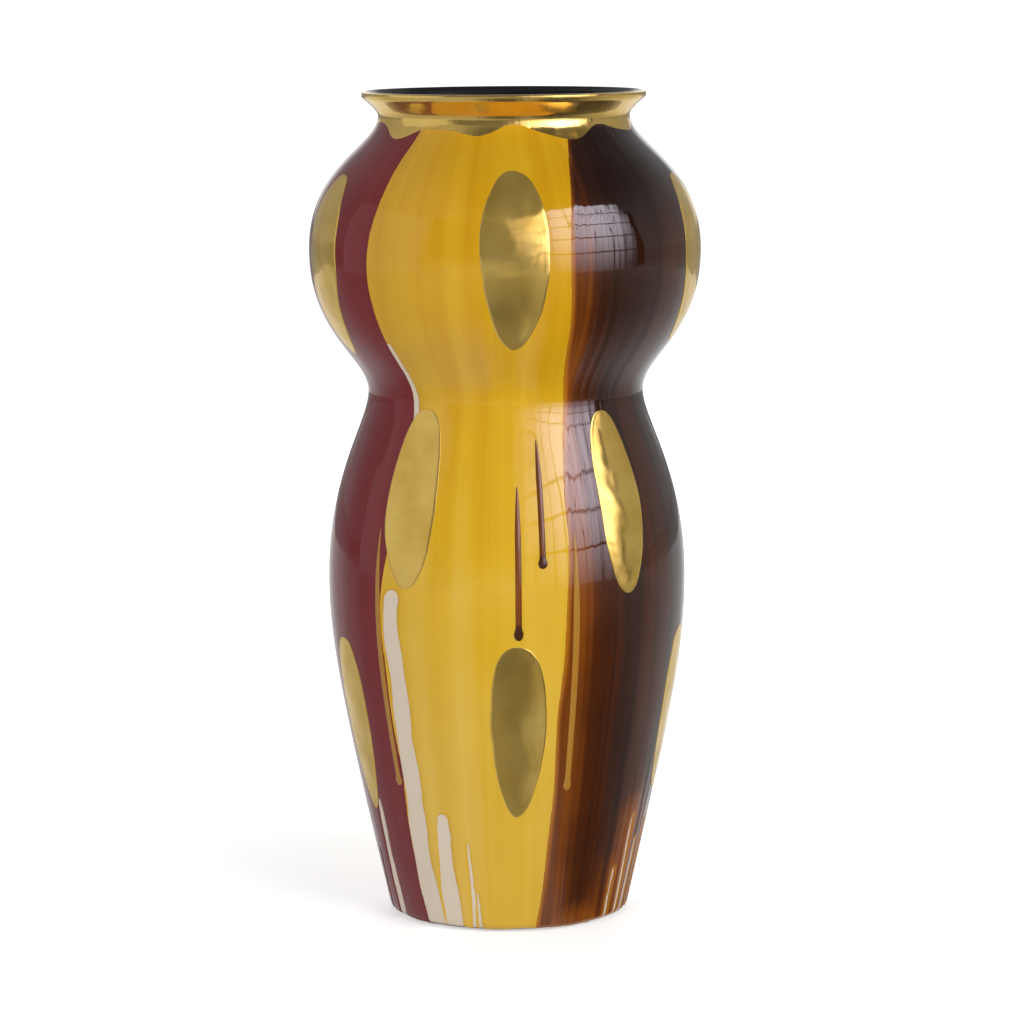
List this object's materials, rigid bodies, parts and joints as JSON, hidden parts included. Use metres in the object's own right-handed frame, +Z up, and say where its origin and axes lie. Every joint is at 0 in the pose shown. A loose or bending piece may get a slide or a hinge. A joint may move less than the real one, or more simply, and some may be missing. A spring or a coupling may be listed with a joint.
{
  "type": "standing planter",
  "caption": "Tall double-gourd planter of glazed stoneware with a flared gilt mouth, a lift-out planting liner, a drain bung and pads under its foot.",
  "frame": {"origin": "on the floor, on the vase's axis, under the middle of its foot", "axes": "+Z up along the vase's axis; the front, as pictured, faces -Y"},
  "size_m": [0.26, 0.26, 0.551],
  "materials": {
    "glaze_mustard": "glossy poured glaze, mustard yellow",
    "glaze_maroon": "glossy poured glaze, maroon",
    "glaze_brown": "glossy poured glaze, treacle brown, amber where thin",
    "glaze_white": "clear glaze over pale slip",
    "glaze_black": "glossy black glaze, inside",
    "gold_lustre": "mirror gold lustre fired on the glaze",
    "bare_stoneware": "unglazed, ground flat",
    "liner_plastic": "black moulded plastic, fine texture",
    "plug_rubber": "matt soft rubber",
    "pad_felt": "pressed felt"
  },
  "bodies": {
    "vase": {"vase_shell": "glaze_mustard", "foot_pad_1": "pad_felt", "foot_pad_2": "pad_felt", "foot_pad_3": "pad_felt", "foot_pad_4": "pad_felt"},
    "liner": {"planting_liner": "liner_plastic"},
    "plug": {"drain_plug": "plug_rubber"}
  },
  "joints": [
    {"name": "liner_lift", "type": "slide", "parent": "vase", "child": "liner", "axis": [0, 0, 1], "range_m": [0, 0.35]},
    {"name": "plug_lift", "type": "slide", "parent": "vase", "child": "plug", "axis": [0, 0, 1], "range_m": [0, 0.06]}
  ]
}
